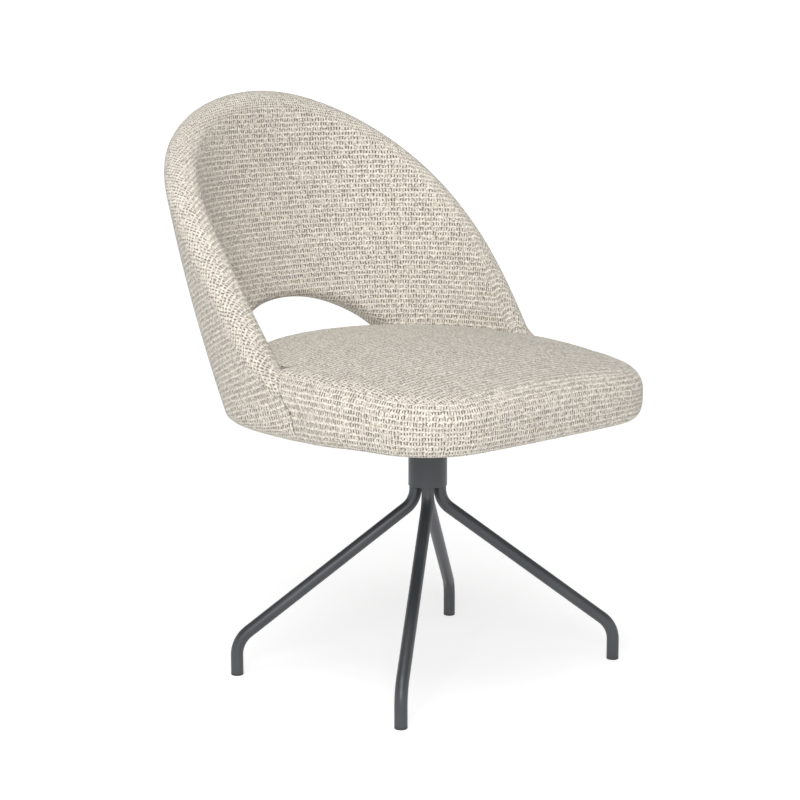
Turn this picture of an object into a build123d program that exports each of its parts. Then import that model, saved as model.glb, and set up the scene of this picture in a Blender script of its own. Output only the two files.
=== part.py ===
from build123d import *
import math
import os

os.makedirs("parts", exist_ok=True)

# Swivel dining chair. Millimetres, +Z up, the floor at z = 0. The origin is the point
# where the swivel axis meets the floor, and the sitter faces -Y.

# ---------------------------------------------------------------- base sizes
leg_diameter = 18
leg_wall = 1.5
foot_across = 222            # foot centre from the swivel axis, along X
foot_along = 167.3           # foot centre from the swivel axis, along Y
leg_top_offset = 12.5        # leg centre line inside the collar, along X and along Y
knee_height = 249            # where the centre lines of the upper bend would cross
ankle_height = 50.8          # where the centre lines of the lower bend would cross
knee_radius = 36
ankle_radius = 42
leg_top_height = 300
glide_height = 4
glide_edge_radius = 1.5
glide_stem_length = 18
glide_stem_clearance = 0.1

# ---------------------------------------------------------------- hub sizes
collar_diameter = 56
collar_wall = 1.2
collar_bottom_height = 272.5
collar_edge_break = 0.4
hub_plate_thickness = 5
hub_plate_hole_diameter = 12
hub_plate_clearance = 0.1
housing_diameter = 42
housing_bore = 32
housing_length = 46
bush_length = 14
bush_flange_thickness = 3
thrust_washer_thickness = 2
spindle_diameter = 25
running_clearance = 0.05
axial_play = 0.2
spindle_end_gap = 6          # from the hub plate up to the end of the spindle
circlip_thickness = 1.2
circlip_groove_depth = 1.2
circlip_lip = 2.4            # how far the ring stands out of the spindle
circlip_opening_degrees = 50

# ---------------------------------------------------------------- seat board and fasteners
seat_plate_size = 180
seat_plate_thickness = 4
seat_plate_corner_radius = 14
seat_plate_clearance = 1.0   # between the collar's top edge and the plate
shoulder_diameter = 38
bolt_spacing = 140
bolt_diameter = 6
bolt_length = 18
bolt_head_width = 10
bolt_head_height = 4
bolt_hole_clearance = 0.3
plain_washer_diameter = 12
plain_washer_thickness = 1.6
t_nut_flange_diameter = 19
t_nut_flange_thickness = 1.5
t_nut_barrel_diameter = 7.8
t_nut_barrel_length = 9
t_nut_clearance = 0.1
board_thickness = 18
board_edge_margin = 22       # from the widest outline of the cushions in to the board's edge

# ---------------------------------------------------------------- tub: back and arms in one wall
wall_thickness = 48
underside_height = 370
tub_centre_y = 40            # the upright line that the wall goes round
wall_reference_height = 450
side_reach = 255.5           # mid wall from the tub's centre line to the side, at that height
side_flare = 0.153           # outward lean of the sides at that height, mm per mm
side_bow = 0.00013           # how fast that lean grows with height, per mm
rear_reach = 243.7           # mid wall from the tub's centre line to the rear, at that height
rear_lean = 0.5015           # outward lean of the rear at that height
rear_bow = 0.000804          # how fast that lean falls off with height, per mm
plan_roundness = 2.21        # exponent of the rounded plan: 2 is an ellipse
arm_rim_height = 443.3       # centre of the rounded rim over the tub's centre line
top_rim_height = 805.3       # centre of the rounded rim at the rear
rim_bulge = 0.18             # how much the rim line swells above a flat slanting cut
seam_degrees = 3             # the arms end this far in front of the tub's centre line
meridian_degrees = (8, 24, 40, 57, 74)

# crescent opening between the back and the seat
opening_half_width = 162
opening_bottom_height = 425
opening_top_height = 517.5
opening_corner_radius = 9
opening_edge_radius = 14

# ---------------------------------------------------------------- seat cushion
seat_front_half_width = 242
seat_front_reach = 252       # from the swivel axis forward to the cushion's front
seat_front_bow = 9
seat_corner_radius = 114
seat_widest_height = 402
seat_draw_in_degrees = 4     # slope of the sides below the widest height
seat_tuck = 4                # how far the cushion's rear stays inside the middle of the wall
seat_crown_height = 482
seat_crown_radius = 1800
seat_crown_centre_y = 90
seat_top_edge_radius = 36
seat_bottom_edge_radius = 22

# ---------------------------------------------------------------- upholstery and inner shell
cover_thickness = 1.6
foam_gap = 0.5               # keeps the foam just clear of the cover
cushion_gap = 0.4            # between the seat cushion and the tub round it
shell_thickness = 10
part_gap = 0.3               # round a hard piece inside the foam
dust_cover_thickness = 0.8
dust_cover_margin = 28       # from the widest outline in to the edge of the dust cover
cover_turn_under = 26        # from the board's edge in to the end of the cover's margin
board_gap = 0.4
bracket_degrees = (22, 62, 118, 158)
bracket_width = 24
bracket_foot = 13
bracket_toe_margin = 4.5     # from the end of the foot in to its screws
bracket_upright = 24
bracket_thickness = 3
bracket_clearance = 0.45     # between the flat bracket's sides and the curved shell
screw_diameter = 4
foot_screw_length = 15
shell_screw_length = 11
screw_head_diameter = 7.5
screw_head_height = 1.8
pilot_clearance = 0.05
staple_width = 10
staple_wire = 0.8
staple_leg = 7
staple_margin = 34           # from the widest outline in to the row of staples
staple_step_degrees = 15
staple_front_pitch = 45
staple_front_count = 6

# ---------------------------------------------------------------- sizes that follow
leg_radius = leg_diameter / 2
collar_radius = collar_diameter / 2
collar_bore_radius = collar_radius - collar_wall
hub_plate_top = leg_top_height + hub_plate_thickness
housing_top = hub_plate_top + housing_length
thrust_top = housing_top + bush_flange_thickness + thrust_washer_thickness
board_bottom = underside_height + cover_thickness + board_gap
board_top = board_bottom + board_thickness
seat_plate_bottom = board_bottom - seat_plate_thickness
collar_top = seat_plate_bottom - seat_plate_clearance
spindle_radius = spindle_diameter / 2
spindle_bottom = hub_plate_top + spindle_end_gap
half_wall = wall_thickness / 2
wall_low_centre = underside_height + half_wall
foam_inset = cover_thickness + foam_gap
staple_crown_height = underside_height - dust_cover_thickness - staple_wire
staple_front_y = staple_margin - seat_front_reach + seat_front_bow
shell_inset = half_wall - shell_thickness / 2


# ================================================================ base
def make_leg(across, along, label):
    top = (across * leg_top_offset, along * leg_top_offset, leg_top_height)
    knee = (across * leg_top_offset, along * leg_top_offset, knee_height)
    ankle = (across * foot_across, along * foot_along, ankle_height)
    foot = (across * foot_across, along * foot_along, glide_height)
    with BuildPart() as leg:
        with BuildLine():
            FilletPolyline(top, knee, ankle, foot, radius=[knee_radius, ankle_radius])
        with BuildSketch(Plane(origin=top, x_dir=(1, 0, 0), z_dir=(0, 0, -1))):
            Circle(leg_radius)
            Circle(leg_radius - leg_wall, mode=Mode.SUBTRACT)
        sweep()
    leg.part.label = label
    export_step(leg.part, f"parts/{label}.step")


def make_glide(across, along, label):
    centre = (across * foot_across, along * foot_along)
    stem_radius = leg_radius - leg_wall - glide_stem_clearance
    with BuildPart() as glide:
        with BuildSketch():
            with Locations(centre):
                Circle(leg_radius)
        extrude(amount=glide_height)
        fillet(glide.edges().group_by(Axis.Z)[0], glide_edge_radius)
        with BuildSketch(Plane.XY.offset(glide_height)):
            with Locations(centre):
                Circle(stem_radius)
        extrude(amount=glide_stem_length)
        chamfer(glide.edges().group_by(Axis.Z)[-1], glide_edge_radius)
    glide.part.label = label
    export_step(glide.part, f"parts/{label}.step")


corner_names = {
    (-1, -1): "front_left",
    (1, -1): "front_right",
    (-1, 1): "rear_left",
    (1, 1): "rear_right",
}
for (across, along), corner in corner_names.items():
    make_leg(across, along, f"leg_{corner}")
    make_glide(across, along, f"glide_{corner}")

with BuildPart() as collar:
    with BuildSketch(Plane.XY.offset(collar_bottom_height)):
        Circle(collar_radius)
        Circle(collar_bore_radius, mode=Mode.SUBTRACT)
    extrude(amount=collar_top - collar_bottom_height)
    outer_edges = collar.edges().filter_by(GeomType.CIRCLE).sort_by(lambda edge: edge.radius)[-2:]
    chamfer(outer_edges, collar_edge_break)
collar.part.label = "hub_collar"
export_step(collar.part, "parts/hub_collar.step")

with BuildPart() as hub_plate:
    with BuildSketch(Plane.XY.offset(leg_top_height)):
        Circle(collar_bore_radius - hub_plate_clearance)
        Circle(hub_plate_hole_diameter / 2, mode=Mode.SUBTRACT)
    extrude(amount=hub_plate_thickness)
hub_plate.part.label = "hub_plate"
export_step(hub_plate.part, "parts/hub_plate.step")

with BuildPart() as housing:
    with BuildSketch(Plane.XY.offset(hub_plate_top)):
        Circle(housing_diameter / 2)
        Circle(housing_bore / 2, mode=Mode.SUBTRACT)
    extrude(amount=housing_length)
housing.part.label = "bearing_housing"
export_step(housing.part, "parts/bearing_housing.step")

# the lower bush sits just above the retaining ring, the upper one fills the housing's mouth
circlip_top = spindle_bottom + 2 * circlip_thickness
with BuildPart() as lower_bush:
    with BuildSketch(Plane.XY.offset(circlip_top + axial_play)):
        Circle(housing_bore / 2)
        Circle(spindle_radius + running_clearance, mode=Mode.SUBTRACT)
    extrude(amount=bush_length)
lower_bush.part.label = "lower_bush"
export_step(lower_bush.part, "parts/lower_bush.step")

with BuildPart() as upper_bush:
    with BuildSketch(Plane.XY.offset(housing_top - bush_length)):
        Circle(housing_bore / 2)
    extrude(amount=bush_length)
    with BuildSketch(Plane.XY.offset(housing_top)):
        Circle(housing_diameter / 2)
    extrude(amount=bush_flange_thickness)
    with BuildSketch(Plane.XY.offset(housing_top - bush_length)):
        Circle(spindle_radius + running_clearance)
    extrude(amount=bush_length + bush_flange_thickness, mode=Mode.SUBTRACT)
upper_bush.part.label = "upper_bush"
export_step(upper_bush.part, "parts/upper_bush.step")

with BuildPart() as thrust_washer:
    with BuildSketch(Plane.XY.offset(housing_top + bush_flange_thickness)):
        Circle(housing_diameter / 2)
        Circle(spindle_radius + running_clearance, mode=Mode.SUBTRACT)
    extrude(amount=thrust_washer_thickness)
thrust_washer.part.label = "thrust_washer"
export_step(thrust_washer.part, "parts/thrust_washer.step")

# ================================================================ swivel and seat plate
with BuildPart() as spindle:
    with BuildSketch(Plane.XY.offset(spindle_bottom)):
        Circle(spindle_radius)
    extrude(amount=seat_plate_bottom - spindle_bottom)
    with BuildSketch(Plane.XY.offset(thrust_top + axial_play)):
        Circle(shoulder_diameter / 2)
    extrude(amount=seat_plate_bottom - thrust_top - axial_play)
    with BuildSketch(Plane.XY.offset(spindle_bottom + circlip_thickness)):
        Circle(spindle_radius)
        Circle(spindle_radius - circlip_groove_depth, mode=Mode.SUBTRACT)
    extrude(amount=circlip_thickness, mode=Mode.SUBTRACT)
spindle.part.label = "seat_spindle"
export_step(spindle.part, "parts/seat_spindle.step")

with BuildPart() as circlip:
    with BuildSketch(Plane.XY.offset(spindle_bottom + circlip_thickness)):
        Circle(spindle_radius + circlip_lip)
        Circle(spindle_radius - circlip_groove_depth, mode=Mode.SUBTRACT)
        with BuildLine():
            reach = spindle_diameter
            half_angle = circlip_opening_degrees / 2
            Polyline(
                (0, 0),
                (reach * math.cos(math.radians(half_angle)), reach * math.sin(math.radians(half_angle))),
                (reach * math.cos(math.radians(half_angle)), -reach * math.sin(math.radians(half_angle))),
                close=True,
            )
        make_face(mode=Mode.SUBTRACT)
    extrude(amount=circlip_thickness)
circlip.part.label = "retaining_ring"
export_step(circlip.part, "parts/retaining_ring.step")

with BuildPart() as seat_plate:
    with BuildSketch(Plane.XY.offset(seat_plate_bottom)):
        RectangleRounded(seat_plate_size, seat_plate_size, seat_plate_corner_radius)
        with GridLocations(bolt_spacing, bolt_spacing, 2, 2):
            Circle(bolt_diameter / 2 + bolt_hole_clearance, mode=Mode.SUBTRACT)
    extrude(amount=seat_plate_thickness)
seat_plate.part.label = "seat_plate"
export_step(seat_plate.part, "parts/seat_plate.step")

with BuildPart() as washers:
    with BuildSketch(Plane.XY.offset(seat_plate_bottom - plain_washer_thickness)):
        with GridLocations(bolt_spacing, bolt_spacing, 2, 2):
            Circle(plain_washer_diameter / 2)
            Circle(bolt_diameter / 2 + bolt_hole_clearance, mode=Mode.SUBTRACT)
    extrude(amount=plain_washer_thickness)
washers.part.label = "plate_washers"
export_step(washers.part, "parts/plate_washers.step")

bolt_head_top = seat_plate_bottom - plain_washer_thickness
with BuildPart() as bolts:
    with BuildSketch(Plane.XY.offset(bolt_head_top - bolt_head_height)):
        with GridLocations(bolt_spacing, bolt_spacing, 2, 2):
            RegularPolygon(bolt_head_width / 2, 6, major_radius=False)
    extrude(amount=bolt_head_height)
    with BuildSketch(Plane.XY.offset(bolt_head_top)):
        with GridLocations(bolt_spacing, bolt_spacing, 2, 2):
            Circle(bolt_diameter / 2)
    extrude(amount=bolt_length)
bolts.part.label = "plate_bolts"
export_step(bolts.part, "parts/plate_bolts.step")

with BuildPart() as t_nuts:
    with BuildSketch(Plane.XY.offset(board_top - t_nut_flange_thickness)):
        with GridLocations(bolt_spacing, bolt_spacing, 2, 2):
            Circle(t_nut_flange_diameter / 2)
            Circle(bolt_diameter / 2 + t_nut_clearance, mode=Mode.SUBTRACT)
    extrude(amount=t_nut_flange_thickness)
    with BuildSketch(Plane.XY.offset(board_top - t_nut_flange_thickness)):
        with GridLocations(bolt_spacing, bolt_spacing, 2, 2):
            Circle(t_nut_barrel_diameter / 2)
            Circle(bolt_diameter / 2 + t_nut_clearance, mode=Mode.SUBTRACT)
    extrude(amount=-t_nut_barrel_length)
t_nuts.part.label = "t_nuts"
export_step(t_nuts.part, "parts/t_nuts.step")


# ================================================================ tub: shared geometry
# Distance from the tub's centre line to the middle of its wall. The plan is a rounded
# oval behind the centre line and two straight arms in front of it.
def wall_radius(degrees, height):
    rise = height - wall_reference_height
    side = side_reach + side_flare * rise + side_bow * rise * rise
    rear = rear_reach + rear_lean * rise - rear_bow * rise * rise
    across = math.cos(math.radians(degrees))
    along = math.sin(math.radians(degrees))
    if along <= 0:
        return side / abs(across)
    share = (abs(across) / side) ** plan_roundness + (along / rear) ** plan_roundness
    return share ** (-1 / plan_roundness)


# The rim climbs with the sine of the angle, with a slight swelling on the way.
def rim_centre_height(degrees):
    along = math.sin(math.radians(degrees))
    climb = along + rim_bulge * along * along * (1 - along)
    return arm_rim_height + (top_rim_height - arm_rim_height) * climb


# An upright plane through the tub's centre line: its x axis points out through the wall.
def meridian_plane(degrees):
    across = math.cos(math.radians(degrees))
    along = math.sin(math.radians(degrees))
    return Plane(origin=(0, tub_centre_y, 0), x_dir=(across, along, 0), z_dir=(along, -across, 0))


# A point of the wall in its meridian plane: the middle of the wall at one height, moved
# square to the wall by out and along it by up.
def wall_point(degrees, height, out, up):
    step = 1.0
    lean = (wall_radius(degrees, height + step) - wall_radius(degrees, height - step)) / (2 * step)
    length = math.hypot(lean, 1)
    radius = wall_radius(degrees, height) + (out + up * lean) / length
    return (radius, height + (up - out * lean) / length)


# The wall cut by a meridian plane: two long arcs joined by a round rim and a round foot.
def wall_section(degrees, inset):
    half = half_wall - inset
    low = wall_low_centre
    high = rim_centre_height(degrees)
    middle = (low + high) / 2
    slant = half * math.sqrt(0.5)
    with BuildSketch(meridian_plane(degrees)) as section:
        with BuildLine():
            ThreePointArc(
                wall_point(degrees, low, half, 0),
                wall_point(degrees, middle, half, 0),
                wall_point(degrees, high, half, 0),
            )
            ThreePointArc(
                wall_point(degrees, high, half, 0),
                wall_point(degrees, high, slant, slant),
                wall_point(degrees, high, 0, half),
            )
            ThreePointArc(
                wall_point(degrees, high, 0, half),
                wall_point(degrees, high, -slant, slant),
                wall_point(degrees, high, -half, 0),
            )
            ThreePointArc(
                wall_point(degrees, high, -half, 0),
                wall_point(degrees, middle, -half, 0),
                wall_point(degrees, low, -half, 0),
            )
            ThreePointArc(
                wall_point(degrees, low, -half, 0),
                wall_point(degrees, low, -slant, -slant),
                wall_point(degrees, low, 0, -half),
            )
            ThreePointArc(
                wall_point(degrees, low, 0, -half),
                wall_point(degrees, low, slant, -slant),
                wall_point(degrees, low, half, 0),
            )
        make_face()
    return section.sketch


# The opening's outline seen from the front, grown by grow on every side.
def opening_face(grow):
    half_width = opening_half_width + grow
    bottom = opening_bottom_height - grow
    top = opening_top_height + grow
    with BuildSketch(Plane.XZ) as face:
        with BuildLine():
            EllipticalCenterArc((0, bottom), half_width, top - bottom, start_angle=0, arc_size=180)
            Line((-half_width, bottom), (half_width, bottom))
        make_face()
        fillet(face.vertices(), opening_corner_radius + grow)
    return face.sketch


# The whole tub wall with every face moved in by inset, and its crescent opening.
def make_tub(inset, edge_radius):
    end = -seam_degrees + math.degrees(inset / side_reach)
    rear_half = [end, *meridian_degrees]
    angles = rear_half + [90] + [180 - degrees for degrees in reversed(rear_half)]
    with BuildPart() as tub:
        loft([wall_section(degrees, inset) for degrees in angles])
        before = tub.edges()
        extrude(opening_face(inset), amount=-2 * top_rim_height, mode=Mode.SUBTRACT)
        if edge_radius > 0:
            fillet(tub.edges() - before, edge_radius)
    return tub.part


# The outline of the whole seat at one height, from above, drawn in by margin: a bowed
# front, two straight sides and the rounded rear of the tub.
def plan_outline(height, margin):
    def rim_point(degrees):
        radius = wall_radius(degrees, height) + half_wall - margin
        angle = math.radians(degrees)
        return (radius * math.cos(angle), tub_centre_y + radius * math.sin(angle))

    corner = (seat_front_half_width - margin, margin + seat_front_bow - seat_front_reach)
    rear_points = [rim_point(degrees) for degrees in (-seam_degrees, 15, 35, 55, 75)]
    with BuildSketch() as outline:
        with BuildLine():
            front = (0, margin - seat_front_reach)
            between = (corner[0] / 2, corner[1] - seat_front_bow * 0.75)
            ThreePointArc(front, between, corner)
            Line(corner, rear_points[0])
            side = Vector(rear_points[0]) - Vector(corner)
            Spline(*rear_points, rim_point(90), tangents=[side, (-1, 0)])
            mirror(about=Plane.YZ)
        make_face()
        fillet(outline.vertices().sort_by(Axis.Y)[1:3], seat_corner_radius - margin)
    return outline.sketch


# A pillow over one outline: sides drawn in below the widest height, a crown cut from a
# large sphere, and rounded edges above and below.
def make_pillow(height, margin, inset):
    rise = seat_crown_radius - seat_crown_height
    with BuildPart() as pillow:
        with BuildSketch(Plane.XY.offset(seat_widest_height)):
            add(plan_outline(height, margin + inset))
        extrude(amount=underside_height + inset - seat_widest_height, taper=seat_draw_in_degrees)
        with BuildSketch(Plane.XY.offset(seat_widest_height)):
            add(plan_outline(height, margin + inset))
        extrude(amount=2 * (seat_crown_height - seat_widest_height))
        with Locations((0, seat_crown_centre_y, -rise)):
            Sphere(seat_crown_radius - inset, mode=Mode.INTERSECT)
        fillet(pillow.faces().sort_by(Axis.Z)[-1].edges(), seat_top_edge_radius - inset)
        fillet(pillow.faces().sort_by(Axis.Z)[0].edges(), seat_bottom_edge_radius - inset)
    return pillow.part


# Everything in front of the seam where the arms end.
def front_of_seam(inset):
    far = 2 * seat_front_reach
    drop = far * math.tan(math.radians(seam_degrees))
    back = tub_centre_y - inset
    with BuildPart() as region:
        with BuildSketch():
            with BuildLine():
                Polyline(
                    (0, back),
                    (far, back - drop),
                    (far, -far),
                    (-far, -far),
                    (-far, back - drop),
                    close=True,
                )
            make_face()
        extrude(amount=2 * seat_crown_height)
    return region.part


# The seat cushion: full width in front of the seam, and a narrower rear inside the tub.
def make_cushion(inset):
    with BuildPart() as cushion:
        add(make_pillow(seat_widest_height, 0, inset))
        add(front_of_seam(inset), mode=Mode.INTERSECT)
        add(make_pillow(wall_low_centre, half_wall + seat_tuck, inset))
    return cushion.part


# Everything inside one drawn-in outline between two heights.
def outline_block(margin, bottom, top):
    with BuildPart() as block:
        with BuildSketch(Plane.XY.offset(bottom)):
            add(plan_outline(wall_low_centre, margin))
        extrude(amount=top - bottom)
    return block.part


# ================================================================ brackets and screws
# How far the wall's plan turns away from square to its meridian plane.
def plan_turn(degrees):
    step = 1.0
    before = wall_radius(degrees - step, board_top)
    after = wall_radius(degrees + step, board_top)
    slope = (after - before) / math.radians(2 * step)
    return math.atan2(slope, wall_radius(degrees, board_top))


# An upright plane square to the wall, with its x axis pointing out and its zero in the
# middle of the wall at the height of the board's top.
def bracket_plane(degrees):
    radius = wall_radius(degrees, board_top)
    angle = math.radians(degrees)
    out = angle - plan_turn(degrees)
    origin = (radius * math.cos(angle), tub_centre_y + radius * math.sin(angle), 0)
    x_dir = (math.cos(out), math.sin(out), 0)
    return Plane(origin=origin, x_dir=x_dir, z_dir=(math.sin(out), -math.cos(out), 0))


# A point off the inner face of the shell, in the bracket's plane.
def inner_face_point(degrees, height, off):
    radius, level = wall_point(degrees, height, -shell_thickness / 2 - off, 0)
    distance = (radius - wall_radius(degrees, board_top)) * math.cos(plan_turn(degrees))
    return (distance, level)


# The flat bracket rests on its two sides in the curved shell: how far its middle stands off.
def bracket_set_off(degrees):
    plane = bracket_plane(degrees)
    half_turn = math.degrees(bracket_width / 2 / wall_radius(degrees, board_top))
    set_off = 0
    for height in (board_top, board_top + bracket_upright):
        middle = inner_face_point(degrees, height, 0)[0]
        for side in (degrees - half_turn, degrees + half_turn):
            radius, level = wall_point(side, height, -shell_thickness / 2, 0)
            angle = math.radians(side)
            place = Vector(radius * math.cos(angle), tub_centre_y + radius * math.sin(angle), level)
            set_off = max(set_off, middle - plane.to_local_coords(place).X)
    return set_off + bracket_clearance


def shell_face_point(degrees, height, off):
    distance, level = inner_face_point(degrees, height, off)
    return (distance - bracket_set_off(degrees), level)


def make_brackets():
    floor = board_top + bracket_thickness
    with BuildPart() as brackets:
        for degrees in bracket_degrees:
            heel = shell_face_point(degrees, board_top, 0)[0]
            top = shell_face_point(degrees, board_top + bracket_upright, 0)
            inner_top = shell_face_point(degrees, board_top + bracket_upright, bracket_thickness)
            inner_heel = shell_face_point(degrees, floor, bracket_thickness)[0]
            toe = heel - bracket_foot
            with BuildSketch(bracket_plane(degrees)):
                with BuildLine():
                    Polyline(
                        (heel, board_top),
                        top,
                        inner_top,
                        (inner_heel, floor),
                        (toe, floor),
                        (toe, board_top),
                        close=True,
                    )
                make_face()
            extrude(amount=bracket_width / 2, both=True)
    return brackets.part


# Flat-headed screws down through each bracket's foot, grown by clearance for their holes.
def make_foot_screws(clearance):
    floor = board_top + bracket_thickness
    with BuildPart() as screws:
        for degrees in bracket_degrees:
            centre = shell_face_point(degrees, board_top, 0)[0] - bracket_foot + bracket_toe_margin
            plane = bracket_plane(degrees)
            for side in (-1, 1):
                head = plane.from_local_coords(Vector(centre, floor, side * bracket_width / 4))
                with BuildSketch(Plane(head)):
                    Circle(screw_head_diameter / 2 + clearance)
                extrude(amount=screw_head_height + clearance)
                with BuildSketch(Plane(head)):
                    Circle(screw_diameter / 2 + clearance)
                extrude(amount=-foot_screw_length - clearance)
    return screws.part


# Screws through each bracket's upright into the shell, square to its face.
def make_shell_screws(clearance):
    height = board_top + bracket_upright * 0.6
    with BuildPart() as screws:
        for degrees in bracket_degrees:
            plane = bracket_plane(degrees)
            face = Vector(*shell_face_point(degrees, height, 0))
            head = Vector(*shell_face_point(degrees, height, bracket_thickness))
            start = plane.from_local_coords(head)
            inward = plane.from_local_coords(face) - start
            with BuildSketch(Plane(origin=start, z_dir=inward)):
                Circle(screw_head_diameter / 2 + clearance)
            extrude(amount=-screw_head_height - clearance)
            with BuildSketch(Plane(origin=start, z_dir=inward)):
                Circle(screw_diameter / 2 + clearance)
            extrude(amount=shell_screw_length + clearance)
    return screws.part


brackets = make_brackets()
brackets.label = "shell_brackets"
foot_screws = make_foot_screws(0)
foot_screws.label = "bracket_foot_screws"
shell_screws = make_shell_screws(0)
shell_screws.label = "bracket_shell_screws"
foot_screw_room = make_foot_screws(pilot_clearance)
shell_screw_room = make_shell_screws(pilot_clearance)
hardware_room = [make_foot_screws(part_gap), make_shell_screws(part_gap)]

with BuildPart() as drilled_brackets:
    add(brackets)
    add(foot_screw_room, mode=Mode.SUBTRACT)
    add(shell_screw_room, mode=Mode.SUBTRACT)
drilled_brackets.part.label = "shell_brackets"
export_step(drilled_brackets.part, "parts/shell_brackets.step")
export_step(foot_screws, "parts/bracket_foot_screws.step")
export_step(shell_screws, "parts/bracket_shell_screws.step")

# ================================================================ seat board
with BuildPart() as board:
    add(outline_block(board_edge_margin, board_bottom, board_top))
    with BuildSketch(Plane.XY.offset(board_bottom)):
        with GridLocations(bolt_spacing, bolt_spacing, 2, 2):
            Circle(t_nut_barrel_diameter / 2 + t_nut_clearance)
    extrude(amount=board_thickness, mode=Mode.SUBTRACT)
    with BuildSketch(Plane.XY.offset(board_top - t_nut_flange_thickness)):
        with GridLocations(bolt_spacing, bolt_spacing, 2, 2):
            Circle(t_nut_flange_diameter / 2 + t_nut_clearance)
    extrude(amount=t_nut_flange_thickness, mode=Mode.SUBTRACT)
    add(foot_screw_room, mode=Mode.SUBTRACT)
board.part.label = "seat_board"
export_step(board.part, "parts/seat_board.step")

# room for the board and its contents inside the foam and the covers
foam_room = outline_block(board_edge_margin - part_gap, 0, board_top + part_gap)
board_room = outline_block(board_edge_margin - part_gap, board_bottom - part_gap / 2, board_top + part_gap)
under_room = outline_block(board_edge_margin + cover_turn_under, 0, board_top)

# ================================================================ inner shell and upholstery
with BuildPart() as shell:
    add(make_tub(shell_inset, 0))
    split(bisect_by=Plane.XY.offset(board_top), keep=Keep.TOP)
    add(shell_screw_room, mode=Mode.SUBTRACT)
shell.part.label = "back_shell"
export_step(shell.part, "parts/back_shell.step")

with BuildPart() as back_foam:
    add(make_tub(foam_inset, opening_edge_radius - foam_inset))
    add(foam_room, mode=Mode.SUBTRACT)
    add(make_tub(shell_inset - part_gap, 0), mode=Mode.SUBTRACT)
    add(brackets, mode=Mode.SUBTRACT)
    for room in hardware_room:
        add(room, mode=Mode.SUBTRACT)
back_foam.part.label = "back_foam"
export_step(back_foam.part, "parts/back_foam.step")

with BuildPart() as back_cover:
    add(make_tub(0, opening_edge_radius))
    add(make_tub(cover_thickness, opening_edge_radius - cover_thickness), mode=Mode.SUBTRACT)
    add(board_room, mode=Mode.SUBTRACT)
    add(under_room, mode=Mode.SUBTRACT)
back_cover.part.label = "back_cover"
export_step(back_cover.part, "parts/back_cover.step")

with BuildPart() as seat_foam:
    add(make_cushion(foam_inset))
    add(make_tub(-cushion_gap - foam_inset, 0), mode=Mode.SUBTRACT)
    add(foam_room, mode=Mode.SUBTRACT)
seat_foam.part.label = "seat_foam"
export_step(seat_foam.part, "parts/seat_foam.step")

with BuildPart() as seat_hollow:
    add(make_cushion(cover_thickness))
    add(make_tub(-cushion_gap - cover_thickness, 0), mode=Mode.SUBTRACT)

with BuildPart() as seat_cover:
    add(make_cushion(0))
    add(make_tub(-cushion_gap, 0), mode=Mode.SUBTRACT)
    add(seat_hollow.part, mode=Mode.SUBTRACT)
    add(board_room, mode=Mode.SUBTRACT)
    add(under_room, mode=Mode.SUBTRACT)
seat_cover.part.label = "seat_cover"
export_step(seat_cover.part, "parts/seat_cover.step")

with BuildPart() as dust_cover:
    with BuildSketch(Plane.XY.offset(underside_height)):
        add(plan_outline(wall_low_centre, dust_cover_margin))
        Rectangle(seat_plate_size + 2, seat_plate_size + 2, mode=Mode.SUBTRACT)
    extrude(amount=-dust_cover_thickness)
dust_cover.part.label = "dust_cover"
export_step(dust_cover.part, "parts/dust_cover.step")


# ================================================================ staples
# Wire staples go up through the dust cover and the margins of the covers into the board.
# Each is placed in the middle of its crown and turned along the edge.
rear_degrees = range(0, 181, staple_step_degrees)
with BuildPart() as staples:
    with BuildSketch(Plane.XY.offset(staple_crown_height)):
        for degrees in rear_degrees:
            radius = wall_radius(degrees, wall_low_centre) + half_wall - staple_margin
            angle = math.radians(degrees)
            with Locations((radius * math.cos(angle), tub_centre_y + radius * math.sin(angle))):
                Rectangle(staple_width, staple_wire, rotation=degrees + 90)
        with Locations((0, staple_front_y)):
            with GridLocations(staple_front_pitch, 1, staple_front_count, 1):
                Rectangle(staple_width, staple_wire)
    extrude(amount=staple_wire)
    with BuildSketch(Plane.XY.offset(staple_crown_height + staple_wire)):
        leg_shift = (staple_width - staple_wire) / 2
        for degrees in rear_degrees:
            radius = wall_radius(degrees, wall_low_centre) + half_wall - staple_margin
            angle = math.radians(degrees)
            for side in (-leg_shift, leg_shift):
                place = (
                    radius * math.cos(angle) - side * math.sin(angle),
                    tub_centre_y + radius * math.sin(angle) + side * math.cos(angle),
                )
                with Locations(place):
                    Rectangle(staple_wire, staple_wire, rotation=degrees + 90)
        for side in (-leg_shift, leg_shift):
            with Locations((side, staple_front_y)):
                with GridLocations(staple_front_pitch, 1, staple_front_count, 1):
                    Rectangle(staple_wire, staple_wire)
    extrude(amount=staple_leg)
staples.part.label = "cover_staples"
export_step(staples.part, "parts/cover_staples.step")
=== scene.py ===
import bpy
import numpy as np
from math import radians
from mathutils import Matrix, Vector


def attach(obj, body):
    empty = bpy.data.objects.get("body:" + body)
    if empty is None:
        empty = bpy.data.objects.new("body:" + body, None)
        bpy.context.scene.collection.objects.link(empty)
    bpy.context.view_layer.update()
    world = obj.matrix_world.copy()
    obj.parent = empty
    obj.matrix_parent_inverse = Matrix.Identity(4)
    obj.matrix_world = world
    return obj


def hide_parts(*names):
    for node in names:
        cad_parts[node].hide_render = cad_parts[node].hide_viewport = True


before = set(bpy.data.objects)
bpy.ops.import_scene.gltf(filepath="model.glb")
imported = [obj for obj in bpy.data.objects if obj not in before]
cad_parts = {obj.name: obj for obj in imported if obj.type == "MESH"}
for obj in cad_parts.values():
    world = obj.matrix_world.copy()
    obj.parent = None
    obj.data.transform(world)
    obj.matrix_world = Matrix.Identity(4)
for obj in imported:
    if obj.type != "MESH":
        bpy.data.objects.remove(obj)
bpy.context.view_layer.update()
scene = bpy.context.scene
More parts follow.
